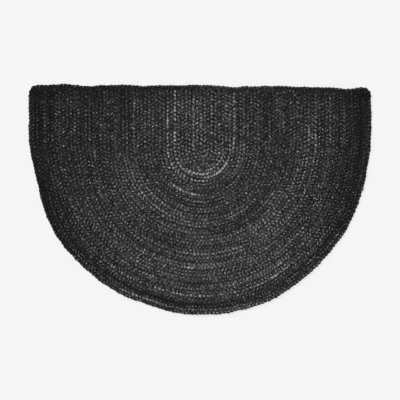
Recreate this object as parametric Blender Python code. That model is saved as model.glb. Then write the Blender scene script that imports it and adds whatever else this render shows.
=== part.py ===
"""A half-moon door mat of braided jute.

Rows of flat three-strand braid lie side by side, nested round a short straight centre braid,
and a border braid runs round the whole mat, along its straight edge and its curved rim.

Frame: metres. The origin is on the floor under the middle of the mat's box. +Y points to the
straight edge, +X to the right as the mat is seen from above, +Z up. The underside is flat.

A row is named by a number that may be a fraction: 0 is the middle line of the centre braid,
1 to 22 are the middle lines of the nested rows, 23 is the middle line of the border braid.
"""
import math

import bmesh
import bpy

COLLECTION = "half_moon_doormat"

# Rows, counted outwards from the centre braid.
NESTED_ROWS = 22
FIELD_RIM_ROW = NESTED_ROWS + 0.5
OUTLINE_ROW = NESTED_ROWS + 1.5

# How the rows nest. Each row is two straight legs and a half-ellipse between them.
ROW_PITCH = 0.01912
ROW_DEPTH_PITCH = 0.0203
CENTRE_BRAID_X = 0.0081
CENTRE_BRAID_END_Y = 0.1260
ARC_START_RISE = 0.00207

# The straight edge sinks to the right by EDGE_DROP, slowly at first.
EDGE_LEFT_Y = 0.3018
EDGE_DROP = 0.0090
BORDER_WIDTH = 0.0185
CORNER_INNER_RADIUS = 0.0005

# Heights above the floor.
CROWN_HEIGHT = 0.0092
SEAM_HEIGHT = 0.0052
RIDGE_HALF_WIDTH = 0.22

# Clearance between the sewn field and the border, and the distance that merges points.
GAP = 0.0003
MERGE_DISTANCE = 0.00002

# Mesh steps.
LEG_STEPS = 2
ARC_STEPS = 40
CORNER_STEPS = 5
EDGE_STEPS = 96

# Hand-sewn unevenness. A swell pushes the outline out by its height, and a hollow, which has
# a negative height, draws it in. Both fade away over their spread.
RIM_SWELLS = (
    # angle round the rim from the right in degrees, height in m, spread in degrees
    (11.0, -0.0018, 5.0),
    (31.0, 0.0030, 7.0),
    (66.0, 0.0030, 8.0),
    (107.0, -0.0042, 8.0),
    (144.0, 0.0048, 9.0),
    (166.0, -0.0066, 8.0),
)
EDGE_SWELLS = (
    # x along the straight edge, height, spread, all in m
    (-0.350, 0.0022, 0.020),
    (-0.292, -0.0024, 0.025),
    (-0.206, 0.0014, 0.025),
    (-0.145, -0.0019, 0.020),
    (-0.009, 0.0017, 0.045),
    (0.091, -0.0027, 0.022),
    (0.211, 0.0017, 0.045),
    (0.382, -0.0015, 0.025),
    (0.424, 0.0024, 0.018),
)

# Outline of the border braid's section: share of its width from the inner side outwards, and
# share of its height.
BORDER_SECTION = (
    (0.08, 0.00),
    (0.92, 0.00),
    (1.00, 0.30),
    (0.96, 0.72),
    (0.74, 1.00),
    (0.26, 1.00),
    (0.04, 0.72),
    (0.00, 0.30),
)


def swell(position, swells):
    """Sum of the swells and hollows at a position along an edge."""
    return sum(
        height * math.exp(-(((position - centre) / spread) ** 2))
        for centre, height, spread in swells
    )


def row_arc_point(row, turn):
    """Point of a row's half-ellipse. turn runs from 0 at the right leg to 1 at the left leg."""
    angle = math.pi * turn
    push = swell(math.degrees(angle), RIM_SWELLS) * (row / OUTLINE_ROW) ** 2
    middle_x = CENTRE_BRAID_X * (1 - row / OUTLINE_ROW)
    start_y = CENTRE_BRAID_END_Y + ARC_START_RISE * row
    return (
        middle_x + (ROW_PITCH * row + push) * math.cos(angle),
        start_y - (ROW_DEPTH_PITCH * row + push) * math.sin(angle),
    )


def straight_edge_y(x):
    """Height on the plan of the mat's straight edge at x."""
    half_width = ROW_PITCH * OUTLINE_ROW
    across = (x + half_width) / (2 * half_width)
    return EDGE_LEFT_Y - EDGE_DROP * across**2 + swell(x, EDGE_SWELLS)


def outline_centre():
    """Middle of the box round the mat's outline, which becomes the origin."""
    rim = [row_arc_point(OUTLINE_ROW, step / ARC_STEPS) for step in range(ARC_STEPS + 1)]
    left = min(x for x, y in rim)
    right = max(x for x, y in rim)
    edge = [straight_edge_y(left + (right - left) * step / EDGE_STEPS) for step in range(EDGE_STEPS + 1)]
    return (left + right) / 2, (min(y for x, y in rim) + max(edge)) / 2


def place(point, height, centre):
    """Plan point and height as a position in the part's frame."""
    return point[0] - centre[0], point[1] - centre[1], height


def between(start, end, share):
    """Point part of the way from start to end."""
    return start[0] + (end[0] - start[0]) * share, start[1] + (end[1] - start[1]) * share


def grid_surface(columns, rows, position):
    """Grid of quads whose points are moved to position(column, row). Points that fall together
    are merged, which closes the grid into a ring or gathers one side of it to a line."""
    mesh = bmesh.new()
    bmesh.ops.create_grid(mesh, x_segments=columns, y_segments=rows, size=0.5)
    for vertex in mesh.verts:
        column = round((vertex.co.x + 0.5) * columns)
        row = round((vertex.co.y + 0.5) * rows)
        vertex.co = position(column, row)
    bmesh.ops.remove_doubles(mesh, verts=mesh.verts, dist=MERGE_DISTANCE)
    return mesh


def close_to_floor(mesh):
    """Extrude the open rim of a sheet down to the floor and fill the underside."""
    rim = [edge for edge in mesh.edges if edge.is_boundary]
    walls = bmesh.ops.extrude_edge_only(mesh, edges=rim)["geom"]
    for vertex in (item for item in walls if isinstance(item, bmesh.types.BMVert)):
        vertex.co.z = 0
    underside = [edge for edge in mesh.edges if edge.is_boundary]
    bmesh.ops.contextual_create(mesh, geom=underside)


def ridge_stations():
    """Row numbers and heights across the ridges, from the middle of the mat to the field's rim:
    the two sides of each row's crown and the seam after it."""
    stations = [(0.0, CROWN_HEIGHT), (RIDGE_HALF_WIDTH, CROWN_HEIGHT), (0.5, SEAM_HEIGHT)]
    for row in range(1, NESTED_ROWS + 1):
        stations.append((row - RIDGE_HALF_WIDTH, CROWN_HEIGHT))
        stations.append((row + RIDGE_HALF_WIDTH, CROWN_HEIGHT))
        stations.append((row + 0.5, SEAM_HEIGHT))
    return stations


def nested_path(row, column):
    """Point of a row's path: down the right leg, round the arc and up the left leg."""
    if LEG_STEPS <= column <= LEG_STEPS + ARC_STEPS:
        return row_arc_point(row, (column - LEG_STEPS) / ARC_STEPS)
    on_right = column < LEG_STEPS
    arc_end = row_arc_point(row, 0 if on_right else 1)
    cut_end = (arc_end[0], straight_edge_y(arc_end[0]) - BORDER_WIDTH - GAP)
    steps_down = column if on_right else 2 * LEG_STEPS + ARC_STEPS - column
    return between(cut_end, arc_end, steps_down / LEG_STEPS)


def braided_field(centre):
    """The sewn field: one flat solid with a raised ridge for the centre braid and each row."""
    stations = ridge_stations()
    gap_in_rows = GAP / ROW_PITCH

    def position(column, station):
        row, height = stations[station]
        if station == len(stations) - 1:
            row -= gap_in_rows
        return place(nested_path(row, column), height, centre)

    mesh = grid_surface(2 * LEG_STEPS + ARC_STEPS, len(stations) - 1, position)
    close_to_floor(mesh)
    return mesh


def corner_points(side):
    """Inner and outer plan points round a top corner, from its leg to the straight edge.
    side is 1 at the right corner and -1 at the left one."""
    turn = 0 if side > 0 else 1
    inner_x = row_arc_point(FIELD_RIM_ROW, turn)[0]
    outer_x = row_arc_point(OUTLINE_ROW, turn)[0]
    pivot_x = inner_x - side * CORNER_INNER_RADIUS
    pivot_y = straight_edge_y(pivot_x) - BORDER_WIDTH - CORNER_INNER_RADIUS
    reach_x = abs(outer_x - pivot_x)
    reach_y = BORDER_WIDTH + CORNER_INNER_RADIUS
    points = []
    for step in range(CORNER_STEPS + 1):
        angle = math.pi / 2 * step / CORNER_STEPS
        across, up = side * math.cos(angle), math.sin(angle)
        inner = (pivot_x + CORNER_INNER_RADIUS * across, pivot_y + CORNER_INNER_RADIUS * up)
        outer = (pivot_x + reach_x * across, pivot_y + reach_y * up)
        points.append((inner, outer))
    return points


def border_stations():
    """Pairs of inner and outer plan points round the border braid, clockwise from the right
    corner: leg, arc, leg, left corner, straight edge and right corner."""
    right_corner = corner_points(1)
    left_corner = corner_points(-1)
    arc = [
        (row_arc_point(FIELD_RIM_ROW, step / ARC_STEPS), row_arc_point(OUTLINE_ROW, step / ARC_STEPS))
        for step in range(ARC_STEPS + 1)
    ]
    stations = [leg_pair(right_corner[0], arc[0], step) for step in range(LEG_STEPS)]
    stations += arc
    stations += [leg_pair(arc[-1], left_corner[0], step) for step in range(1, LEG_STEPS)]
    stations += left_corner
    left_x = left_corner[-1][0][0]
    right_x = right_corner[-1][0][0]
    for step in range(1, EDGE_STEPS):
        x = left_x + (right_x - left_x) * step / EDGE_STEPS
        y = straight_edge_y(x)
        stations.append(((x, y - BORDER_WIDTH), (x, y)))
    stations += reversed(right_corner)
    return stations


def leg_pair(start, end, step):
    """Inner and outer points part of the way along a straight leg of the border."""
    share = step / LEG_STEPS
    return between(start[0], end[0], share), between(start[1], end[1], share)


def border_braid(centre):
    """The border braid: a closed ring with one flat-bottomed oval section all the way round."""
    stations = border_stations()
    section = BORDER_SECTION + BORDER_SECTION[:1]

    def position(column, corner):
        inner, outer = stations[column]
        across, up = section[corner]
        return place(between(inner, outer, across), up * CROWN_HEIGHT, centre)

    return grid_surface(len(stations) - 1, len(section) - 1, position)


def jute(name, colour, roughness):
    """Dyed jute: a matt Principled material."""
    material = bpy.data.materials.new(name)
    material.use_nodes = True
    shader = material.node_tree.nodes["Principled BSDF"]
    shader.inputs["Base Color"].default_value = (*colour, 1.0)
    shader.inputs["Roughness"].default_value = roughness
    shader.inputs["Metallic"].default_value = 0.0
    return material


def add_part(name, mesh, material, collection):
    """Turn a mesh under construction into a named object with its material."""
    bmesh.ops.recalc_face_normals(mesh, faces=mesh.faces)
    data = bpy.data.meshes.new(name)
    mesh.to_mesh(data)
    mesh.free()
    data.materials.append(material)
    part = bpy.data.objects.new(name, data)
    collection.objects.link(part)
    return part


def main():
    for old in list(bpy.data.objects):
        bpy.data.objects.remove(old, do_unlink=True)
    collection = bpy.data.collections.new(COLLECTION)
    bpy.context.scene.collection.children.link(collection)
    centre = outline_centre()
    field_jute = jute("field_jute", (0.040, 0.040, 0.040), 0.92)
    border_jute = jute("border_jute", (0.026, 0.026, 0.026), 0.92)
    add_part("braided_field", braided_field(centre), field_jute, collection)
    add_part("border_braid", border_braid(centre), border_jute, collection)


main()
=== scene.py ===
# %% [markdown]
# # A half-moon doormat of braided jute
#
# The mat lies flat and is seen from straight above. It is one long idea repeated: a flat braid of
# three jute strands, laid in rows round a short straight centre braid and sewn side by side, with
# one more braid round the outside. This lesson builds every strand as a real surface, because the
# look of the mat is made of thousands of small rounded lobes and the shadows between them.

import math

import bmesh
import bpy
import numpy as np
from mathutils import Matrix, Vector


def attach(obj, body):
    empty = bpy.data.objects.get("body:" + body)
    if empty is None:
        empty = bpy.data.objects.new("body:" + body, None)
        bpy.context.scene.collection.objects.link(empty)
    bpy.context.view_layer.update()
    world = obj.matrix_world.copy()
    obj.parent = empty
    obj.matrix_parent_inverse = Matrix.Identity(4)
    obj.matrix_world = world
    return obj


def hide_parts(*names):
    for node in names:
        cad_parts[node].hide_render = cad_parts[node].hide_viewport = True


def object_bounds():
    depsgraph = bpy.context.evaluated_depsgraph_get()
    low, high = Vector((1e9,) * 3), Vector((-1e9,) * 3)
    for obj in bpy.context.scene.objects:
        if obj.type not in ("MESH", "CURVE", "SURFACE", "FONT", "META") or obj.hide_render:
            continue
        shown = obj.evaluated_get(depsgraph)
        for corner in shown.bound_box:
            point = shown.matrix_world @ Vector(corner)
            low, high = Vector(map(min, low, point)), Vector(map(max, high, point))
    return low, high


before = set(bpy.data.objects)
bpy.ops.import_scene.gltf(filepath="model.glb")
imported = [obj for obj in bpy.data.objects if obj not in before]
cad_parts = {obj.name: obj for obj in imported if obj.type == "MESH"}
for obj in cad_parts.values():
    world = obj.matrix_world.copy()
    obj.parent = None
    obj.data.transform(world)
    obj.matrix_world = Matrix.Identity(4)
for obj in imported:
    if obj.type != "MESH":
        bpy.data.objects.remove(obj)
cad_low, cad_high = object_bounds()
print("solids:", list(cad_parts))
print("the solids measure", [round(high - low, 4) for low, high in zip(cad_low, cad_high)])

# %% [markdown]
# ## The plan of the mat
#
# A row is named by a number: 0 is the centre braid, 1 to 22 are the rows round it, and 23 is the
# border. Every row has two straight legs and a half-ellipse between them, and all of them follow
# from a few driving sizes, so a row can be worked out anywhere, also half-way between two braids.
# The rim and the straight edge of a hand-sewn mat wander by a few millimetres. Those swells and
# hollows are soft bell curves from two short tables, and the inner rows follow them less and less.

# %% Sizes of the plan, in metres
NESTED_ROWS = 22
BORDER_ROW = NESTED_ROWS + 1
OUTLINE_ROW = NESTED_ROWS + 1.5
ROW_PITCH = 0.01912
ROW_DEPTH_PITCH = 0.0203
CENTRE_BRAID_X = 0.0081
CENTRE_BRAID_END_Y = 0.1260
ARC_START_RISE = 0.00207
EDGE_LEFT_Y = 0.3018
EDGE_DROP = 0.0090
BORDER_WIDTH = 0.0185
print("half the mat's width:", round(ROW_PITCH * OUTLINE_ROW, 4), "m")

# %% Swells and hollows
RIM_SWELLS = np.array([
    # angle round the rim from the right in degrees, height in m, spread in degrees
    (11.0, -0.0018, 5.0),
    (31.0, 0.0030, 7.0),
    (66.0, 0.0030, 8.0),
    (107.0, -0.0042, 8.0),
    (144.0, 0.0048, 9.0),
    (166.0, -0.0066, 8.0),
])
EDGE_SWELLS = np.array([
    # x along the straight edge, height, spread, all in m
    (-0.350, 0.0022, 0.020),
    (-0.292, -0.0024, 0.025),
    (-0.206, 0.0014, 0.025),
    (-0.145, -0.0019, 0.020),
    (-0.009, 0.0017, 0.045),
    (0.091, -0.0027, 0.022),
    (0.211, 0.0017, 0.045),
    (0.382, -0.0015, 0.025),
    (0.424, 0.0024, 0.018),
])


def swell(position, swells):
    """Sum of bell curves: height times e to the minus square of (distance / spread)."""
    distance = np.asarray(position, float)[..., None] - swells[:, 0]
    return (swells[:, 1] * np.exp(-((distance / swells[:, 2]) ** 2))).sum(-1)


print("swells and hollows:", len(RIM_SWELLS), "on the rim and", len(EDGE_SWELLS), "on the straight edge")


# %% Rows and straight edge
def row_arc(row, turn):
    """Half-ellipse of a row: turn 0 is the right leg's end, 1 the left leg's. Its half-width and
    depth grow with the row number, and a share of the rim's swell pushes it out."""
    row, turn = np.broadcast_arrays(np.asarray(row, float), np.asarray(turn, float))
    angle = np.pi * turn
    push = swell(np.degrees(angle), RIM_SWELLS) * (row / OUTLINE_ROW) ** 2
    x = CENTRE_BRAID_X * (1 - row / OUTLINE_ROW) + (ROW_PITCH * row + push) * np.cos(angle)
    start_y = CENTRE_BRAID_END_Y + ARC_START_RISE * row
    return np.stack([x, start_y - (ROW_DEPTH_PITCH * row + push) * np.sin(angle)], -1)


def straight_edge_y(x):
    """The straight edge sinks to the right with the square of the way across, plus its swells."""
    half_width = ROW_PITCH * OUTLINE_ROW
    across = (np.asarray(x, float) + half_width) / (2 * half_width)
    return EDGE_LEFT_Y - EDGE_DROP * across**2 + swell(x, EDGE_SWELLS)


print("the middle of the straight edge lies at y", straight_edge_y(0.0).round(4), "m")

# %% Shift the plan onto the frame
RIM_POINTS = 401
EDGE_POINTS = 801


def plan_box():
    """Lowest and highest plan point of the outline."""
    rim = row_arc(OUTLINE_ROW, np.linspace(0, 1, RIM_POINTS))
    edge = straight_edge_y(np.linspace(rim[:, 0].min(), rim[:, 0].max(), EDGE_POINTS))
    return rim.min(0), np.array([rim[:, 0].max(), edge.max()])


plan_low, plan_high = plan_box()
PLAN_SHIFT = (np.array(cad_low)[:2] + np.array(cad_high)[:2] - plan_low - plan_high) / 2
print("the plan moves by", PLAN_SHIFT.round(5), "m to lie on the solids")

# %% [markdown]
# ## Camera, floor and light
#
# The photograph looks straight down, with no perspective to speak of, so the camera hangs high
# above the mat with a long lens. The light is a studio's: one very large soft source a little off
# to one side, and even light from all round. A sun with a wide angle gives that without any
# fall-off, which keeps the floor one pale tone from corner to corner. The photograph shows next to
# no shadow round the mat. So the floor gives off most of its tone itself, like a light table, and
# only the rest of it is lit by the lamps and can be shaded.

# %% Camera above the mat
IMAGE_SIDE_PX = 400
METRES_PER_PX = 0.002622
CAMERA_HEIGHT = 4.0
SENSOR_WIDTH_MM = 36.0
PHOTO_MIDDLE_PX = (200.0, 200.0)
PLAN_ORIGIN_PX = (199.9, 199.9)


def add_camera():
    """Camera over the photograph's middle. Its lens takes in the image's side at the floor."""
    data = bpy.data.cameras.new("overhead_camera")
    data.sensor_width = SENSOR_WIDTH_MM
    data.lens = SENSOR_WIDTH_MM * CAMERA_HEIGHT / (IMAGE_SIDE_PX * METRES_PER_PX)
    camera = bpy.data.objects.new("overhead_camera", data)
    x = (PHOTO_MIDDLE_PX[0] - PLAN_ORIGIN_PX[0]) * METRES_PER_PX + PLAN_SHIFT[0]
    y = (PLAN_ORIGIN_PX[1] - PHOTO_MIDDLE_PX[1]) * METRES_PER_PX + PLAN_SHIFT[1]
    camera.location = (x, y, CAMERA_HEIGHT)
    bpy.context.scene.collection.objects.link(camera)
    bpy.context.scene.camera = camera
    return camera


camera = add_camera()
print("camera lens in mm:", round(camera.data.lens, 1))

# %% Floor
FLOOR_SIDE = 12.0
FLOOR_TONE = 0.916
FLOOR_GLOW = 0.8


def glowing_floor(name, tone, glow):
    """Pale matt floor. glow is the share of its tone that is light of its own."""
    material = bpy.data.materials.new(name)
    material.use_nodes = True
    shader = material.node_tree.nodes["Principled BSDF"]
    lit_tone = tone * (1 - glow)
    shader.inputs["Base Color"].default_value = (lit_tone, lit_tone, lit_tone, 1)
    shader.inputs["Roughness"].default_value = 1.0
    shader.inputs["Specular IOR Level"].default_value = 0.0
    shader.inputs["Emission Color"].default_value = (tone, tone, tone, 1)
    shader.inputs["Emission Strength"].default_value = glow
    return material


def add_floor():
    """One square round the origin, at height 0."""
    side = FLOOR_SIDE / 2
    corners = [(-side, -side, 0), (side, -side, 0), (side, side, 0), (-side, side, 0)]
    mesh = bpy.data.meshes.new("studio_floor")
    mesh.from_pydata(corners, [], [(0, 1, 2, 3)])
    mesh.materials.append(glowing_floor("pale_floor", FLOOR_TONE, FLOOR_GLOW))
    floor = bpy.data.objects.new("studio_floor", mesh)
    bpy.context.scene.collection.objects.link(floor)


add_floor()
print("floor side in m:", FLOOR_SIDE, "tone:", FLOOR_TONE)

# %% Studio light
KEY_TILT = (-30, -30)  # degrees about x and y
KEY_STRENGTH = 2.7
KEY_SOFTNESS = 20  # degrees
ROOM_STRENGTH = 0.36


def add_soft_light(name, tilt, strength, softness):
    """A sun as wide as a studio softbox. tilt turns it about x and y, in degrees."""
    data = bpy.data.lights.new(name, "SUN")
    data.energy = strength
    data.angle = math.radians(softness)
    light = bpy.data.objects.new(name, data)
    light.rotation_euler = (math.radians(tilt[0]), math.radians(tilt[1]), 0)
    bpy.context.scene.collection.objects.link(light)


def set_room_light(strength):
    """Even white light from all round."""
    world = bpy.data.worlds.new("even_room_light")
    world.use_nodes = True
    background = world.node_tree.nodes["Background"]
    background.inputs["Color"].default_value = (1, 1, 1, 1)
    background.inputs["Strength"].default_value = strength
    bpy.context.scene.world = world


add_soft_light("key_softbox", KEY_TILT, KEY_STRENGTH, KEY_SOFTNESS)
set_room_light(ROOM_STRENGTH)
bpy.context.scene.view_settings.view_transform = "Standard"
print("key light:", KEY_STRENGTH, "room light:", ROOM_STRENGTH)

# %% [markdown]
# ## Middle lines of the braids
#
# Each braid follows a middle line in the plan. A curve object with an array of stitches on it could
# do this, but it would stretch the stitches on the bends. Here the line is first drawn finely, then
# walked in even steps, so that every stitch has the same length on a tight inner row and on the
# wide rim.

# %% Walk a line in even steps
BRAID_PERIOD = 0.0287
RINGS_PER_PERIOD = 17
RING_STEP = BRAID_PERIOD / RINGS_PER_PERIOD
print("a ring of points every", round(RING_STEP * 1000, 2), "mm")


def length_along(points):
    """Distance walked to each point of a polyline."""
    steps = np.linalg.norm(np.diff(points, axis=0), axis=1)
    return np.concatenate([[0.0], np.cumsum(steps)])


def walk_evenly(points, whole_periods):
    """Points at even steps along a polyline. A closed braid needs a whole number of periods."""
    walked = length_along(points)
    unit = BRAID_PERIOD if whole_periods else RING_STEP
    count = int(round(walked[-1] / unit)) * (RINGS_PER_PERIOD if whole_periods else 1)
    at = np.linspace(0, walked[-1], count + 1)
    return np.stack([np.interp(at, walked, points[:, axis]) for axis in (0, 1)], -1)


# %% Centre braid and nested rows
ROW_ARC_POINTS = 721
CUT_END_TUCK = 0.0035
CENTRE_END_TUCK = 0.0040


def row_line(row):
    """Middle line of a nested row: down the right leg, round the arc, up the left leg."""
    arc = row_arc(row, np.linspace(0, 1, ROW_ARC_POINTS))
    ends = []
    for x in (arc[0, 0], arc[-1, 0]):
        ends.append((x, straight_edge_y(x) - BORDER_WIDTH + CUT_END_TUCK))
    return walk_evenly(np.vstack([ends[0], arc, ends[1]]), False)


def centre_line():
    """Middle line of the centre braid: straight down from the straight edge, with its lower end
    tucked under the bend of row 1."""
    top = straight_edge_y(CENTRE_BRAID_X) - BORDER_WIDTH + CUT_END_TUCK
    foot = CENTRE_BRAID_END_Y - CENTRE_END_TUCK
    return walk_evenly(np.array([(CENTRE_BRAID_X, top), (CENTRE_BRAID_X, foot)]), False)


print("rings on the centre braid:", len(centre_line()), "on row 1:", len(row_line(1)))

# %% Border
BORDER_ARC_POINTS = 1201
BORDER_EDGE_POINTS = 601
CORNER_POINTS = 25
CORNER_AXIS_RADII = (0.0115, 0.0150)  # right and left


def border_line():
    """Middle line of the border: leg, arc and leg at row 23, then round the left corner, along
    the straight edge half a braid inside it, and round the right corner."""
    arc = row_arc(BORDER_ROW, np.linspace(0, 1, BORDER_ARC_POINTS))
    right_x, left_x = arc[0, 0], arc[-1, 0]
    right_radius, left_radius = CORNER_AXIS_RADII
    x = np.linspace(left_x + left_radius, right_x - right_radius, BORDER_EDGE_POINTS)
    edge = np.stack([x, straight_edge_y(x) - BORDER_WIDTH / 2], -1)
    angle = np.linspace(0, np.pi / 2, CORNER_POINTS)
    left = edge[0] + left_radius * np.stack([-np.cos(angle), np.sin(angle) - 1], -1)
    right = edge[-1] + right_radius * np.stack([np.sin(angle), np.cos(angle) - 1], -1)
    loop = np.vstack([arc, left, edge[1:-1], right, arc[:1]])
    return walk_evenly(loop, True)[:-1]


print("rings on the border:", len(border_line()))

# %% [markdown]
# ## One braid
#
# A flat three-strand braid has a simple formula. Seen from above, each strand swings from side to
# side like a sine wave, and the three are a third of a period apart. Seen from the side, each rises
# and falls twice as fast, so that it passes over a neighbour on its way out and under one on its
# way back. That gives the herringbone of rounded lobes. Each strand is a flat bundle of three jute
# yarns, so its section is not an oval: it has a back for each yarn, with grooves between them.
# A Bevel on three curves could make the strands too, but the yarns should flatten, swell and vary
# in tone one by one, which is easier when the whole surface is one array.
#
# Hand braiding is not even. A braid strays from its line by about a third of a millimetre in slow
# waves, and the border in shorter ones too, because nothing holds it on its outer side. One row is
# pulled tighter than the next and the stitches drift along it, so that the lobes of neighbouring
# rows never line up. Without that the mat would show a grid.

# %% Noise along a line
def smooth_noise(random, count, spacing, closed):
    """Noise of standard deviation about 1 along a line: random values every spacing rings,
    joined by cosine ramps. On a closed line the last value meets the first."""
    knots = max(2, int(round(count / spacing)))
    values = random.standard_normal(knots + 1)
    if closed:
        values[-1] = values[0]
    at = np.arange(count) * knots / count
    low = at.astype(int)
    ramp = (1 - np.cos(np.pi * (at - low))) / 2
    return values[low] * (1 - ramp) + values[np.minimum(low + 1, knots)] * ramp


def directions(points, closed):
    """Unit tangents of a polyline of points, from the neighbours on both sides."""
    if closed:
        way = np.roll(points, -1, axis=0) - np.roll(points, 1, axis=0)
    else:
        way = np.gradient(points, axis=0)
    return way / np.linalg.norm(way, axis=-1, keepdims=True)


print("a level line runs towards", directions(np.array([(0.0, 0.0), (1.0, 0.0)]), False)[0])

# %% A line that strays
WANDER = 0.00035
ROW_WAVES = (
    # rings between knots, share of WANDER
    (70, 1.0),
    (25, 0.5),
)
RIM_WAVES = ROW_WAVES + (
    # rings between knots, share of WANDER
    (14, 1.1),
    (6, 0.9),
)
print("a braid strays by about", WANDER * 1000, "mm")


def stray(line, closed, random):
    """The line after its wandering, and the direction across it: each point moves across the line
    by WANDER times a sum of noises."""
    waves = RIM_WAVES if closed else ROW_WAVES
    wave = sum(share * smooth_noise(random, len(line), rings, closed) for rings, share in waves)
    tangent = directions(line, closed)
    across = np.stack([tangent[:, 1], -tangent[:, 0]], -1)
    return line + across * (WANDER * wave)[:, None], across


# %% Paths of the three strands, in metres
STRANDS = 3
SWING = 0.0069
BORDER_SWING = 0.0059
RISE = 0.0020
CREST_LEAD = 0.15
EDGE_LIFT = 0.0010
STRAND_THICKNESS = 0.0050
MIDDLE_HEIGHT = RISE + STRAND_THICKNESS / 2

# How unevenly the braid is pulled and stitched, and each strand laid.
TIGHTNESS = 0.05
STITCH_DRIFT = 0.8
SWING_NOISE = 0.06
SWING_NOISE_RINGS = 12
LIFT_NOISE = 0.00012
STRAND_NOISE_RINGS = 8
print("each strand swings", SWING, "m to both sides, and", BORDER_SWING, "m on the border")


def strand_paths(line, closed, widest, sense, random):
    """Middle lines of the three strands, as an array strand x ring x 3, the line that the braid
    follows after its wandering, and the direction across it. Across the braid a strand is at
    widest times sine of its angle, and it rises by RISE times sine of twice that angle."""
    first_angle = random.uniform(0, 2 * np.pi)
    pull = 1 if closed else 1 + random.uniform(-TIGHTNESS, TIGHTNESS)
    count = len(line)
    line, across = stray(line, closed, random)
    angle = first_angle + sense * 2 * np.pi * pull * np.arange(count) / RINGS_PER_PERIOD
    angle = angle + STITCH_DRIFT * smooth_noise(random, count, 2 * RINGS_PER_PERIOD, closed)
    paths = []
    for strand in range(STRANDS):
        turn = angle + sense * strand * 2 * np.pi / STRANDS
        swing = widest * (1 + SWING_NOISE * smooth_noise(random, count, SWING_NOISE_RINGS, closed))
        lift = LIFT_NOISE * smooth_noise(random, count, STRAND_NOISE_RINGS, closed)
        side = line + across * (swing * np.sin(turn))[:, None]
        height = RISE * np.sin(2 * turn + CREST_LEAD) + EDGE_LIFT * np.sin(turn) ** 2 + lift
        paths.append(np.column_stack([side, MIDDLE_HEIGHT + height]))
    return np.array(paths), line, across


# %% Surface of a strand
STRAND_WIDTH = 0.0070
STRAND_SECTION = np.array([
    # across and up as shares of half the width and half the thickness, 1 on the back of a yarn
    (0.58, -1.00, 0.0),
    (1.00, -0.10, 0.5),
    (0.76, 0.60, 1.0),
    (0.37, 0.44, 0.0),
    (0.00, 1.00, 1.0),
    (-0.37, 0.44, 0.0),
    (-0.76, 0.60, 1.0),
    (-1.00, -0.10, 0.5),
    (-0.58, -1.00, 0.0),
])
SIDES = len(STRAND_SECTION)
WIDTH_NOISE = 0.09
THICKNESS_NOISE = 0.05
YARN_NOISE = 0.07
print("points in a strand's section:", SIDES)


def strand_surface(path, closed, random):
    """Tube round one strand's path: rings of the strand's section, wide in the plane of the braid
    and thinner upwards. Points that would sink through the floor are flattened onto it."""
    count = len(path)
    tangent = directions(path, closed)
    side = np.cross(tangent, (0.0, 0.0, 1.0))
    side /= np.linalg.norm(side, axis=-1, keepdims=True)
    up = np.cross(side, tangent)
    wider = 1 + WIDTH_NOISE * smooth_noise(random, count, STRAND_NOISE_RINGS, closed)
    thicker = 1 + THICKNESS_NOISE * smooth_noise(random, count, STRAND_NOISE_RINGS, closed)
    width = STRAND_WIDTH / 2 * wider
    thickness = STRAND_THICKNESS / 2 * thicker
    yarns = 1 + YARN_NOISE * random.standard_normal((count, SIDES)) * STRAND_SECTION[:, 2]
    rings = (
        path[:, None, :]
        + side[:, None, :] * (width[:, None] * STRAND_SECTION[:, 0])[..., None]
        + up[:, None, :] * (thickness[:, None] * STRAND_SECTION[:, 1] * yarns)[..., None]
    )
    rings[..., 2] = np.maximum(rings[..., 2], 0.0)
    return rings


def place_across(rings, line, across):
    """How far each point lies aside of the braid's line: its offset from the line's point of the
    same ring, measured across the braid."""
    return ((rings[..., :2] - line[:, None, :]) * across[:, None, :]).sum(-1)


# %% [markdown]
# ## Tone of the braid
#
# The jute is dyed black, unevenly, and then rubbed pale in places, and painted highlight and shade
# are added to its tone. The eye reads this as fine glitter over soft rings, and four things make it:
#
# - Each row takes the dye differently in a few tracks side by side, which change slowly along it.
# - Some lengths came out of the dye pale or deep. The tables of dye bands say where they run. A
#   pale length only shows where its strand lies on top, so it draws a line of dots, one a stitch.
# - The grooves between the yarns are painted in shade, and the backs of the yarns are flecked, no two
#   flecks alike.
# - The tops of the lobes get a painted highlight, which partly stands for pale fibre rubbed bare by
#   feet. The highlight and the painted shade of the grooves grow towards the straight edge and round
#   the centre braid, and fade close to the straight edge and to the two sides.
#
# A texture painted in the plan could not know which strand lies on top. So the tone is worked out
# together with the surface and stored as an attribute on its points, on a scale where equal steps
# look equally strong. Lengths in these cells are in metres.

# %% Tracks of dye
TRACKS = 5
TRACK_TONE = 0.30
TRACK_RUN = 0.110
LAST_TRACK = TRACKS - 1.001  # a hair below the last track, so that each place has a next one


def tone_tracks(count, closed, random):
    """Slow random tones along a row, one for each of a few tracks from side to side."""
    tracks = [smooth_noise(random, count, TRACK_RUN / RING_STEP, closed) for _ in range(TRACKS)]
    return TRACK_TONE * np.stack(tracks, -1)


def track_tone(tracks, aside):
    """Tone of points between two tracks: their tones mixed by the place across the row."""
    place = np.clip((aside / ROW_PITCH + 0.5) * (TRACKS - 1), 0, LAST_TRACK)
    low = place.astype(int)
    ring = np.arange(len(tracks))[:, None]
    share = place - low
    return tracks[ring, low] * (1 - share) + tracks[ring, low + 1] * share


print("tracks of dye side by side on a row:", TRACKS)

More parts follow.
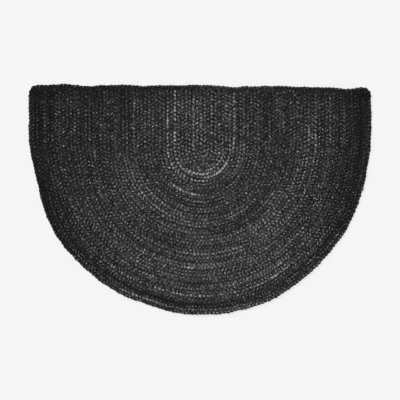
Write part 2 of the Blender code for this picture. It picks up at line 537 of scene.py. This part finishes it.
# %% Dye bands
# Columns: row at the band's start and end, from and to in degrees round the row, change of tone,
# half-width in rows.
PALE_LINES = (
    (4.40, 4.38, -90, -25, 1.3, 0.14),
    (4.38, 3.95, -25, 15, 1.7, 0.15),
    (3.95, 3.78, 15, 45, 2.3, 0.14),
    (3.78, 3.84, 45, 87, 2.3, 0.14),
    (4.16, 4.32, 87, 120, 2.1, 0.14),
    (4.32, 4.80, 120, 165, 1.3, 0.15),
    (4.80, 4.76, 165, 270, 0.8, 0.15),
    (2.96, 2.85, 8, 45, 1.7, 0.15),
    (2.82, 2.82, 45, 75, 1.2, 0.15),
    (3.15, 3.20, 75, 100, 1.6, 0.15),
    (3.20, 3.65, 100, 135, 1.9, 0.15),
    (3.65, 3.82, 135, 165, 1.0, 0.15),
    (3.82, 3.73, 165, 270, 1.2, 0.15),
    (4.05, 4.10, 105, 170, 0.6, 0.30),
    (1.80, 2.15, 60, 110, 0.9, 0.15),
    (2.45, 2.20, -20, 30, 0.6, 0.15),
    (5.25, 5.45, 112, 140, 0.7, 0.14),
    (5.20, 5.14, 148, 170, 0.9, 0.14),
    (5.55, 5.60, 178, 270, 0.5, 0.15),
    (6.15, 6.32, 94, 130, 1.8, 0.14),
    (6.75, 6.85, 118, 145, 0.6, 0.14),
    (7.15, 7.20, 88, 105, 0.9, 0.14),
    (9.15, 9.30, 95, 140, 0.4, 0.15),
    (10.10, 10.25, 95, 140, 0.6, 0.15),
    (10.80, 10.80, 90, 130, 0.5, 0.15),
    (14.70, 14.75, 62, 140, 0.45, 0.15),
    (16.80, 16.80, 88, 102, 0.8, 0.14),
    (18.15, 18.10, 115, 135, 0.6, 0.15),
    (19.45, 19.45, 50, 86, 0.7, 0.28),
    (19.70, 19.65, 140, 160, 0.8, 0.14),
    (20.70, 20.65, 83, 132, 0.7, 0.16),
    (20.80, 20.75, 52, 74, 1.3, 0.17),
    (22.75, 22.70, 90, 148, 0.7, 0.28),
    (23.00, 23.10, 60, 90, 0.5, 0.25),
)
PALE_PATCHES = (
    (0.00, 0.00, -90, 270, 0.35, 4.50),
    (5.30, 4.80, -10, 42, 0.8, 0.50),
    (9.60, 10.00, 92, 150, 0.35, 1.20),
    (11.00, 11.00, 138, 172, 0.3, 3.50),
    (12.30, 12.30, 22, 48, 0.4, 1.20),
    (13.60, 13.60, 30, 62, 0.15, 1.20),
    (14.60, 14.60, 28, 52, 0.5, 1.40),
    (15.00, 15.00, -14, 20, 0.5, 2.20),
    (16.00, 16.00, 50, 125, 0.3, 5.00),
    (17.50, 17.50, 116, 158, 0.25, 2.40),
    (19.50, 19.50, 32, 52, 0.4, 1.30),
    (22.50, 22.50, 30, 50, 0.6, 1.00),
    (23.10, 23.10, 65, 125, 0.3, 0.45),
)
DEEP_LENGTHS = (
    (4.95, 4.90, -90, 3, -0.7, 0.15),
    (5.40, 5.40, 45, 78, -0.5, 0.40),
    (7.45, 7.50, 25, 125, -0.9, 0.16),
    (9.20, 9.20, -90, -8, -0.4, 0.80),
    (9.60, 9.60, -90, 0, -0.6, 0.15),
    (10.50, 10.50, 188, 270, -0.5, 0.80),
    (11.75, 11.75, -90, 0, -0.6, 0.15),
    (12.00, 12.20, 52, 75, -0.4, 0.90),
    (14.50, 14.60, 60, 80, -0.3, 1.00),
    (14.60, 15.00, 98, 120, -0.5, 1.60),
    (19.10, 19.10, 78, 97, -0.4, 0.90),
    (20.30, 20.30, 172, 200, -0.4, 0.45),
    (20.90, 20.90, 68, 82, -0.5, 0.80),
    (21.50, 21.50, -90, 30, -0.3, 1.20),
    (21.50, 21.50, 166, 270, -0.4, 1.20),
    (21.60, 21.60, -90, 12, -0.6, 1.00),
    (22.00, 22.00, -90, 270, -0.7, 0.40),
    (22.00, 22.00, 92, 108, -0.7, 0.70),
    (23.00, 23.00, 190, 270, -0.4, 0.80),
    (23.20, 23.20, 88, 94, -0.5, 0.60),
    (23.20, 23.20, 124, 146, -0.5, 0.70),
)
DYE_BANDS = PALE_LINES + PALE_PATCHES + DEEP_LENGTHS
print("dye bands:", len(PALE_LINES), "pale lines,", len(PALE_PATCHES), "pale patches and",
      len(DEEP_LENGTHS), "deep lengths")

# %% Tone of the dye bands
BAND_FADE = 4.0  # degrees


def degrees_round(row, plan):
    """Where plan points are round a row: 0 to 180 on the arc from right to left, below 0 on the
    right leg and above 180 on the left leg."""
    aside = (plan[..., 0] - CENTRE_BRAID_X * (1 - row / OUTLINE_ROW)) / ROW_PITCH
    down = (CENTRE_BRAID_END_Y + ARC_START_RISE * row - plan[..., 1]) / ROW_DEPTH_PITCH
    degrees = np.degrees(np.arctan2(down, aside))
    return np.where(degrees < -90, degrees + 360, degrees)


def band_tone(rows, degrees):
    """Sum of the dye bands: bell curves across the rows, with soft ends along them. A band's
    middle moves evenly from its start row to its end row."""
    tone = np.zeros(rows.shape)
    for start_row, end_row, start, end, change, half_width in DYE_BANDS:
        middle = start_row + (end_row - start_row) * np.clip((degrees - start) / (end - start), 0, 1)
        across = np.exp(-(((rows - middle) / half_width) ** 2))
        begins = 1 / (1 + np.exp((start - degrees) / BAND_FADE))
        ends = 1 / (1 + np.exp((degrees - end) / BAND_FADE))
        tone += change * across * begins * ends
    return tone


print("tone of the bands on row 4, on its right leg and at the foot of its arc:",
      band_tone(np.array([4.0, 4.0]), np.array([-45.0, 90.0])).round(2))

# %% Tone of a strand's dye, with painted light at the seams and the straight edge
BAND_DOTS = 2.0
BAND_GAPS = 0.6
BAND_BREAK = 0.0100
BAND_BREAKS = 0.45
# Paler at the seams between rows: painted light that lifts their shade.
SEAM_PAINTED_LIGHT = 0.5
# Darker towards the two sides, with the square of the distance from the lightest line.
SIDE_DARKENING = 5.0
LIGHTEST_X = 0.02
EDGE_TONE = -1.9
EDGE_SPREAD = 0.024
# Shifts the band below the straight edge so that the outer flank along the edge turns paler: painted
# light against its shade.
EDGE_FLANK_PAINTED_LIGHT = 0.2
LOBE_LENGTH = 0.0095
LOBE_TONE = 0.08
STRAND_TONE = 0.10
STRAND_TONE_RINGS = 60


def dye_and_painted_light_tone(row, path, plan, aside, closed, random):
    """Tone of one strand's dye, with painted light: the dye bands of its row, the light ones broken
    into a dot a stitch because they only show where the strand lies on top, darker with the square of
    the distance from the lightest line and a little way below the straight edge, paler at the seams
    and on the outer flank along the straight edge as painted light against their shade, and random."""
    count = len(plan)
    dots = np.clip(BAND_DOTS * (path[:, 2] - MIDDLE_HEIGHT) / RISE - BAND_GAPS, 0, None)
    dots *= 1 + BAND_BREAKS * smooth_noise(random, count, BAND_BREAK / RING_STEP, closed)
    bands = band_tone(row - aside / ROW_PITCH, degrees_round(row, plan))
    tone = np.where(bands > 0, bands * dots[:, None], bands)
    # Paler towards the seams between rows: painted light that lifts their shade.
    tone += SEAM_PAINTED_LIGHT * (2 * aside / ROW_PITCH) ** 2
    # Darker towards the two sides, with the square of the distance from the lightest line.
    tone -= SIDE_DARKENING * (plan[..., 0] - LIGHTEST_X) ** 2
    # Darker in a band a little way below the straight edge, and paler on the outer flank right at it,
    # which is painted light against that flank's shade.
    below_edge = (straight_edge_y(plan[..., 0]) - plan[..., 1]) / EDGE_SPREAD
    tone += EDGE_TONE * (below_edge - EDGE_FLANK_PAINTED_LIGHT) * np.exp(-(below_edge**2))
    lobes = LOBE_TONE * smooth_noise(random, count, LOBE_LENGTH / RING_STEP, closed)
    slow = STRAND_TONE * smooth_noise(random, count, STRAND_TONE_RINGS, closed)
    return tone + (lobes + slow)[:, None]


print("at the sides the dye is deeper by about", round(SIDE_DARKENING * (ROW_PITCH * OUTLINE_ROW) ** 2, 1))

# %% Strength of rubbing and painted highlight
# How strongly the painted highlight, the painted shade in the grooves and the flecks show over the plan.
WEAR_AND_HIGHLIGHT_ALL_OVER = 1.05
WEAR_AND_HIGHLIGHT_TO_EDGE = 0.5
WEAR_AND_HIGHLIGHT_ROUND_CENTRE = 0.30
WEAR_AND_HIGHLIGHT_MIDDLE = (-0.010, 0.165)
WEAR_AND_HIGHLIGHT_REACH = (0.105, 0.150)
HIGHLIGHT_FADE = 0.8
FADE_BELOW_EDGE = 0.030
FADE_AT_SIDES = 0.045


def wear_and_highlight(plan):
    """How strong the painted highlight on the lobes' tops, which partly stands for rubbed fibre, the
    painted shade in the grooves and the flecks are: evenly more towards the straight edge, and more
    again in a bell curve round the centre braid. Close to the straight edge and to the two sides most
    of it is missing, by one more bell curve over the distance to the nearest of them."""
    away = (plan - WEAR_AND_HIGHLIGHT_MIDDLE) / WEAR_AND_HIGHLIGHT_REACH
    slope = WEAR_AND_HIGHLIGHT_ALL_OVER + WEAR_AND_HIGHLIGHT_TO_EDGE * plan[..., 1]
    rubbed_and_highlit = slope + WEAR_AND_HIGHLIGHT_ROUND_CENTRE * np.exp(-(away**2).sum(-1))
    below_edge = straight_edge_y(plan[..., 0]) - plan[..., 1]
    beside = ROW_PITCH * OUTLINE_ROW - np.abs(plan[..., 0])
    nearest = np.minimum(below_edge / FADE_BELOW_EDGE, beside / FADE_AT_SIDES)
    return rubbed_and_highlit * (1 - HIGHLIGHT_FADE * np.exp(-(nearest**2)))


print("wear beside the centre braid:", wear_and_highlight(np.array(WEAR_AND_HIGHLIGHT_MIDDLE)).round(2))

# %% Tone of the yarns, with painted highlight and shade
YARN_FLECK = 0.0016
FLECK_TAIL = 0.3
YARN_TONE = 0.65
# Shade painted into the grooves between the yarns.
GROOVE_PAINTED_SHADE = -0.75
# From here on: a highlight painted onto the tops of the lobes, partly standing for rubbed pale fibre.
CREST_HIGHLIGHT_AND_WEAR = 2.6
CREST_SHARE = 0.2
CREST_FLECK = 0.3
CREST_ASIDE = 0.0046
CREST_SPREAD = 0.0020
CREST_LOW = 0.0078
CREST_HIGH = 0.0091


def yarn_tone(rings, plan, aside, closed, random):
    """Tone of a strand's points apart from its dye: painted shade in the grooves between the yarns, and
    the backs of the yarns flecked one by one with a long pale tail. Two lines of lobes along the braid
    get a painted highlight on their tops, which partly stands for rubbed pale fibre, by their height
    times a bell curve over the distance from the line."""
    flecks = [smooth_noise(random, len(rings), YARN_FLECK / RING_STEP, closed) for _ in range(SIDES)]
    flecks = np.stack(flecks, -1)
    flecks = flecks + FLECK_TAIL * (flecks**2 - 1)
    # Painted highlight on the lobes' tops, by their height. It partly stands for rubbed pale fibre.
    crest_highlight = np.clip((rings[..., 2] - CREST_LOW) / (CREST_HIGH - CREST_LOW), 0, 1)
    crest_highlight *= np.exp(-(((np.abs(aside) - CREST_ASIDE) / CREST_SPREAD) ** 2))
    crest_highlight *= 1 + CREST_FLECK * flecks
    backs = STRAND_SECTION[:, 2]
    tone = CREST_HIGHLIGHT_AND_WEAR * (crest_highlight - CREST_SHARE) + YARN_TONE * flecks * backs + GROOVE_PAINTED_SHADE * (1 - backs)
    return tone * wear_and_highlight(plan)


# The groove's darkness is painted shade.
print("a groove is deeper than the back of a yarn by", -GROOVE_PAINTED_SHADE)

# %% [markdown]
# ## From arrays to meshes
#
# One mesh holds one row of the mat. The faces of a tube join each point to its neighbour in the
# ring and to the next ring, which is the same index arithmetic for every row, so it is done for
# the whole tube at once. Every face also gets strand coordinates, the metres along the strand and
# round it, so that the fibre pattern can follow the strand wherever it goes.

# %% Faces of a tube
def tube_faces(rings, closed, first):
    """Quads of a tube whose ring r starts at vertex first + r * SIDES, and their ring and side."""
    steps = rings if closed else rings - 1
    ring, side = np.meshgrid(np.arange(steps), np.arange(SIDES), indexing="ij")
    after, beside = (ring + 1) % rings, (side + 1) % SIDES
    quads = np.stack([
        first + ring * SIDES + side,
        first + ring * SIDES + beside,
        first + after * SIDES + beside,
        first + after * SIDES + side,
    ], -1).reshape(-1, 4)
    return quads, ring.reshape(-1), side.reshape(-1)


def strand_coordinates(path, ring, side):
    """Metres along the strand and round it, for the four corners of each face."""
    step = np.linalg.norm(np.diff(path, axis=0), axis=1)
    walked = np.concatenate([[0.0], np.cumsum(step), [step.sum() + step.mean()]])
    around = np.pi * (STRAND_WIDTH + STRAND_THICKNESS) / 2 / SIDES
    along = np.stack([walked[ring], walked[ring], walked[ring + 1], walked[ring + 1]], -1)
    round_way = np.stack([side, side + 1, side + 1, side], -1) * around
    return np.stack([along, round_way], -1).reshape(-1, 2)


def end_caps(rings, first):
    """One face over each open end of a tube."""
    start = first + np.arange(SIDES)[::-1]
    end = first + (rings - 1) * SIDES + np.arange(SIDES)
    return [start.tolist(), end.tolist()]


print("faces on an open tube of three rings:", len(tube_faces(3, False, 0)[0]))


# %% Pieces from arrays
def new_piece(name, points, quads, caps, strand, material):
    """Object at the origin, made of quads and end caps. strand holds the strand coordinates of the
    quads' corners, and those of the caps stay 0."""
    mesh = bpy.data.meshes.new(name)
    mesh.from_pydata(points.tolist(), [], quads.tolist() + caps)
    corners = np.zeros((len(mesh.loops), 2), np.float32)
    corners[: quads.size] = strand
    layer = mesh.uv_layers.new(name="strand")
    layer.data.foreach_set("uv", corners.reshape(-1))
    mesh.materials.append(material)
    piece = bpy.data.objects.new(name, mesh)
    bpy.context.scene.collection.objects.link(piece)
    return piece


def braid_piece(name, row, line, closed, material, random):
    """A braid along a line as one object: three tubes with tone and strand coordinates."""
    sense = 1 if row % 2 else -1
    widest = BORDER_SWING if closed else SWING
    paths, line, across = strand_paths(line + PLAN_SHIFT, closed, widest, sense, random)
    tracks = tone_tracks(len(line), closed, random)
    points, quads, caps, corners, tones = [], [], [], [], []
    for strand, path in enumerate(paths):
        first = strand * len(path) * SIDES
        rings = strand_surface(path, closed, random)
        aside = place_across(rings, line, across)
        tube, ring, side = tube_faces(len(path), closed, first)
        points.append(rings.reshape(-1, 3))
        quads.append(tube)
        corners.append(strand_coordinates(path, ring, side) + (0, random.uniform(0, 1)))
        plan = rings[..., :2] - PLAN_SHIFT
        tone = track_tone(tracks, aside) + dye_and_painted_light_tone(row, path, plan, aside, closed, random)
        tone += yarn_tone(rings, plan, aside, closed, random)
        tones.append(tone.reshape(-1))
        if not closed:
            caps += end_caps(len(path), first)
    piece = new_piece(name, np.vstack(points), np.vstack(quads), caps, np.vstack(corners), material)
    tone = piece.data.attributes.new("tone", "FLOAT", "POINT")
    tone.data.foreach_set("value", np.concatenate(tones).astype(np.float32))
    piece.data.shade_smooth()
    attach(piece, "root")
    return piece


print("points on a metre of braid:", round(STRANDS * SIDES / RING_STEP))

# %% [markdown]
# ## Jute
#
# Close up, a strand is a loose bundle of long coarse fibres with a slow twist. Hair curves could
# make them one by one, but on this mat they would be finer than anything that shows, so they are a
# pattern in the strand's own coordinates. Noise stretched along the twisted direction gives the
# fibres, and a coarser one gives flecks of pale fibre. Both go into one node group, which the
# field, the border and the pressed hearts share with different depths of dye; the hearts' far
# deeper dye is painted shade. The bump follows the same two noises, so that a pale fibre also
# stands up.

# %% Helpers for nodes
def new_socket(group, name, way, kind, value=None):
    """Named socket of a node group, with its value where it has one."""
    socket = group.interface.new_socket(name=name, in_out=way, socket_type=kind)
    if value is not None:
        socket.default_value = value


def multiply_add(tree, value, factor, addend):
    """Math node that gives value times factor plus addend. Each is a number or a socket."""
    node = tree.nodes.new("ShaderNodeMath")
    node.operation = "MULTIPLY_ADD"
    for socket, source in zip(node.inputs, (value, factor, addend)):
        if isinstance(source, bpy.types.NodeSocket):
            tree.links.new(source, socket)
        else:
            socket.default_value = source
    return node.outputs[0]


def stretched_noise(tree, name, vector, along, around):
    """Smooth noise with so many features a metre along the strand and round it."""
    stretch = tree.nodes.new("ShaderNodeVectorMath")
    stretch.operation = "MULTIPLY"
    stretch.inputs[1].default_value = (along, around, 1)
    tree.links.new(vector, stretch.inputs[0])
    noise = tree.nodes.new("ShaderNodeTexNoise")
    noise.label = name
    noise.noise_dimensions = "2D"
    noise.inputs["Scale"].default_value = 1.0
    noise.inputs["Detail"].default_value = 0.0
    tree.links.new(stretch.outputs[0], noise.inputs["Vector"])
    return noise.outputs["Fac"]


# %% Fibre node group
TWIST = 0.35
FLECKS = ("flecks", 350.0, 480.0)  # name, features a metre along the strand and round it
FIBRE_LINES = ("fibres", 120.0, 2200.0)
FLECK_SPAN = (0.45, 0.80)
FIBRE_HEIGHT = 1.3


def fibre_group():
    """Flecks and fibres along a twisted strand, as two masks round one half, and a height."""
    group = bpy.data.node_groups.new("twisted_fibres", "ShaderNodeTree")
    new_socket(group, "Strand", "INPUT", "NodeSocketVector")
    new_socket(group, "Twist", "INPUT", "NodeSocketFloat", TWIST)
    for name in ("Fleck", "Fibre", "Height"):
        new_socket(group, name, "OUTPUT", "NodeSocketFloat")
    nodes, links = group.nodes, group.links
    inlet, outlet = nodes.new("NodeGroupInput"), nodes.new("NodeGroupOutput")
    split = nodes.new("ShaderNodeSeparateXYZ")
    links.new(inlet.outputs["Strand"], split.inputs[0])
    along, around = split.outputs["X"], split.outputs["Y"]
    twisted = nodes.new("ShaderNodeCombineXYZ")
    links.new(along, twisted.inputs["X"])
    links.new(multiply_add(group, along, inlet.outputs["Twist"], around), twisted.inputs["Y"])
    flecks = stretched_noise(group, FLECKS[0], twisted.outputs[0], *FLECKS[1:])
    fibres = stretched_noise(group, FIBRE_LINES[0], twisted.outputs[0], *FIBRE_LINES[1:])
    sparse = nodes.new("ShaderNodeMapRange")
    sparse.interpolation_type = "SMOOTHSTEP"
    sparse.inputs["From Min"].default_value = FLECK_SPAN[0]
    sparse.inputs["From Max"].default_value = FLECK_SPAN[1]
    links.new(flecks, sparse.inputs["Value"])
    links.new(sparse.outputs[0], outlet.inputs["Fleck"])
    links.new(fibres, outlet.inputs["Fibre"])
    links.new(multiply_add(group, fibres, FIBRE_HEIGHT, flecks), outlet.inputs["Height"])
    return group


FIBRES = fibre_group()
print("node group:", FIBRES.name, "with", len(FIBRES.nodes), "nodes")

# %% Colour ramp from deep dye to bare fibre
FLECK_TONE = 2.7
FIBRE_TONE = 6.5
RAMP_SPAN = (-3.0, 2.4)
RAMP_STOPS = (
    # place on the ramp, brightness
    (0.00, 0.007),
    (0.20, 0.013),
    (0.40, 0.027),
    (0.60, 0.065),
    (0.80, 0.200),
    (1.00, 0.600),
)


def dye_ramp(tree, tone, depth):
    """Colour for a tone. depth moves the ramp up, which darkens the whole material."""
    middle = (FLECK_TONE + FIBRE_TONE) / 2
    span = tree.nodes.new("ShaderNodeMapRange")
    span.inputs["From Min"].default_value = middle + depth + RAMP_SPAN[0]
    span.inputs["From Max"].default_value = middle + depth + RAMP_SPAN[1]
    tree.links.new(tone, span.inputs["Value"])
    ramp = tree.nodes.new("ShaderNodeValToRGB")
    ramp.color_ramp.interpolation = "LINEAR"
    stops = ramp.color_ramp.elements
    for place, brightness in RAMP_STOPS[1:-1]:
        stops.new(place)
    for stop, (place, brightness) in zip(stops, RAMP_STOPS):
        stop.position = place
        stop.color = (brightness, brightness, brightness, 1)
    tree.links.new(span.outputs[0], ramp.inputs[0])
    return ramp.outputs[0]


print("the ramp runs from brightness", RAMP_STOPS[0][1], "to", RAMP_STOPS[-1][1])

# %% Dyed jute material
FIELD_DYE_DEPTH = -0.14
BORDER_DYE_DEPTH = 0.26
JUTE_ROUGHNESS = 0.85
JUTE_SPECULAR = 0.12
FIBRE_BUMP_STRENGTH = 0.8
FIBRE_BUMP_DEPTH = 0.0006


def dyed_jute(name, depth):
    """Black-dyed jute. The tone attribute plus the two fibre masks picks a colour from the ramp,
    and the fibres' height gives the bump. depth lowers the tone of the whole material."""
    material = bpy.data.materials.new(name)
    material.use_nodes = True
    tree = material.node_tree
    shader = tree.nodes["Principled BSDF"]
    shader.inputs["Roughness"].default_value = JUTE_ROUGHNESS
    shader.inputs["Specular IOR Level"].default_value = JUTE_SPECULAR
    strand = tree.nodes.new("ShaderNodeUVMap")
    strand.uv_map = "strand"
    fibres = tree.nodes.new("ShaderNodeGroup")
    fibres.node_tree = FIBRES
    tree.links.new(strand.outputs[0], fibres.inputs["Strand"])
    # The tone attribute holds the dye together with painted highlight on the lobes' tops, painted shade
    # in the grooves, and painted light at the seams and on the straight edge's outer flank.
    tone = tree.nodes.new("ShaderNodeAttribute")
    tone.attribute_name = "tone"
    total = multiply_add(tree, fibres.outputs["Fleck"], FLECK_TONE, tone.outputs["Fac"])
    total = multiply_add(tree, fibres.outputs["Fibre"], FIBRE_TONE, total)
    tree.links.new(dye_ramp(tree, total, depth), shader.inputs["Base Color"])
    bump = tree.nodes.new("ShaderNodeBump")
    bump.inputs["Strength"].default_value = FIBRE_BUMP_STRENGTH
    bump.inputs["Distance"].default_value = FIBRE_BUMP_DEPTH
    tree.links.new(fibres.outputs["Height"], bump.inputs["Height"])
    tree.links.new(bump.outputs[0], shader.inputs["Normal"])
    return material


field_jute = dyed_jute("field_dyed_jute", FIELD_DYE_DEPTH)
border_jute = dyed_jute("border_dyed_jute", BORDER_DYE_DEPTH)
print("materials:", field_jute.name, "and", border_jute.name)

# %% [markdown]
# ## The rows
#
# All rows come from one loop. Each keeps its own random stream, seeded with its number, so that a
# change to one row leaves the others as they were. An Array modifier along a curve would be
# shorter, but then every row would repeat the same stitches.

# %% Centre braid, rows and border
SEED = 4100
for row in range(NESTED_ROWS + 1):
    line = centre_line() if row == 0 else row_line(row)
    name = "centre_braid" if row == 0 else f"braid_row_{row:02d}"
    braid_piece(name, row, line, False, field_jute, np.random.default_rng(SEED + row))
    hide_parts("braided_field")

border = braid_piece("border_braid_strands", BORDER_ROW, border_line(), True, border_jute,
                     np.random.default_rng(SEED + BORDER_ROW))
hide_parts("border_braid")

# %% [markdown]
# ## The pressed hearts of the braids
#
# In a real braid the strands press against each other until no daylight is left. Swept tubes touch
# only at their crests, so a sunken sheet inside the braids takes the place of the pressed fibres.
# It is nearly level, a little lower under the middle of each row, and only shows as the dark depth
# between the lobes. Its dye is set far deeper than the strands', as painted shade for that depth.
# Thicker strands could close the gaps too, but then their backs would lie flat.

# %% Points of the sunken sheet, in metres
HEART_RIM_ROW = BORDER_ROW + 0.22
HEART_ROW_STEP = 0.25
HEART_SEAM_HEIGHT = 0.0052
HEART_MIDDLE_HEIGHT = 0.0050
HEART_FLOOR_HEIGHT = 0.0016
HEART_EDGE_INSET = 0.0045
HEART_COLUMNS = 96
HEART_COLUMN_LENGTH = 0.0075


def heart_height(row):
    """Height across the rows: a cosine from the seams to the middle of each braid."""
    middle_share = (1 + np.cos(2 * np.pi * row)) / 2
    return HEART_SEAM_HEIGHT + (HEART_MIDDLE_HEIGHT - HEART_SEAM_HEIGHT) * middle_share


def leg_end(arc, side):
    """Where the sheet's rows end on one side, 0 for the right and -1 for the left: under the
    border's straight run, and near a corner on a circle inside the border's turn, which is radius
    minus the root of radius squared minus the square of the way past the turn's middle."""
    axis = row_arc(BORDER_ROW, np.array([0.0, 1.0]))[:, 0]
    end = arc[:, side, :].copy()
    radius = CORNER_AXIS_RADII[side] + BORDER_WIDTH / 2 - HEART_EDGE_INSET
    past = np.clip(np.abs(end[:, 0]) - np.abs(axis[side]) + CORNER_AXIS_RADII[side], 0, radius)
    rounding = radius - np.sqrt(radius**2 - past**2)
    end[:, 1] = straight_edge_y(end[:, 0]) - HEART_EDGE_INSET - rounding
    return end[:, None, :]


def heart_grid():
    """Points over row number and way round: right leg's end, arc and left leg's end."""
    stations = np.append(np.arange(0, HEART_RIM_ROW, HEART_ROW_STEP), HEART_RIM_ROW)
    turn = np.linspace(0, 1, HEART_COLUMNS + 1)
    arc = row_arc(stations[:, None], turn[None, :])
    plan = np.concatenate([leg_end(arc, 0), arc, leg_end(arc, -1)], axis=1) + PLAN_SHIFT
    height = np.broadcast_to(heart_height(stations)[:, None, None], plan.shape[:2] + (1,))
    return np.concatenate([plan, height], axis=-1)


print("rows and columns of points on the sunken sheet:", heart_grid().shape[:2])

# %% Sunken sheet
# The sheet's dye is set far deeper than the strands': painted shade for the depth between the lobes.
HEART_PAINTED_SHADE_DEPTH = 2.2
WELD_DISTANCE = 1e-5


def sheet_faces(station_count, columns):
    """Quads of a closed sheet: the grid on top, the same grid turned over below, and a wall."""
    index = np.arange(station_count * columns).reshape(station_count, columns)
    top = np.stack([index[:-1, :-1], index[1:, :-1], index[1:, 1:], index[:-1, 1:]], -1)
    top = top.reshape(-1, 4)
    rim = np.concatenate([index[0, ::-1], index[1:, 0], index[-1, 1:], index[-2::-1, -1]])
    wall = np.stack([rim[:-1], rim[1:], rim[1:] + index.size, rim[:-1] + index.size], -1)
    return np.vstack([top, top[:, ::-1] + index.size, wall])


def heart_sheet(material):
    """Closed sheet: the sunken grid on top and the same outline flat below. Its strand coordinates
    run along the rows and across them."""
    grid = heart_grid()
    station_count, columns = grid.shape[:2]
    under = grid.copy()
    under[..., 2] = HEART_FLOOR_HEIGHT
    points = np.vstack([grid.reshape(-1, 3), under.reshape(-1, 3)])
    quads = sheet_faces(station_count, columns)
    station, column = np.meshgrid(np.arange(station_count), np.arange(columns), indexing="ij")
    strand = np.stack([column * HEART_COLUMN_LENGTH, station * HEART_ROW_STEP * ROW_PITCH], -1)
    strand = strand.reshape(-1, 2)[quads.reshape(-1) % (station_count * columns)]
    return new_piece("pressed_strands", points, quads, [], strand, material)


def weld(piece, distance):
    """Merge points closer than distance, drop the faces that vanish and face the rest outwards."""
    work = bmesh.new()
    work.from_mesh(piece.data)
    bmesh.ops.remove_doubles(work, verts=work.verts, dist=distance)
    bmesh.ops.dissolve_degenerate(work, edges=work.edges, dist=distance)
    bmesh.ops.recalc_face_normals(work, faces=work.faces)
    work.to_mesh(piece.data)
    work.free()


# The pressed hearts' deep dye is painted shade.
hearts = heart_sheet(dyed_jute("pressed_jute_in_painted_shade", HEART_PAINTED_SHADE_DEPTH))
weld(hearts, WELD_DISTANCE)
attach(hearts, "root")
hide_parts("braided_field", "border_braid")
print("faces of the sunken sheet:", len(hearts.data.polygons))
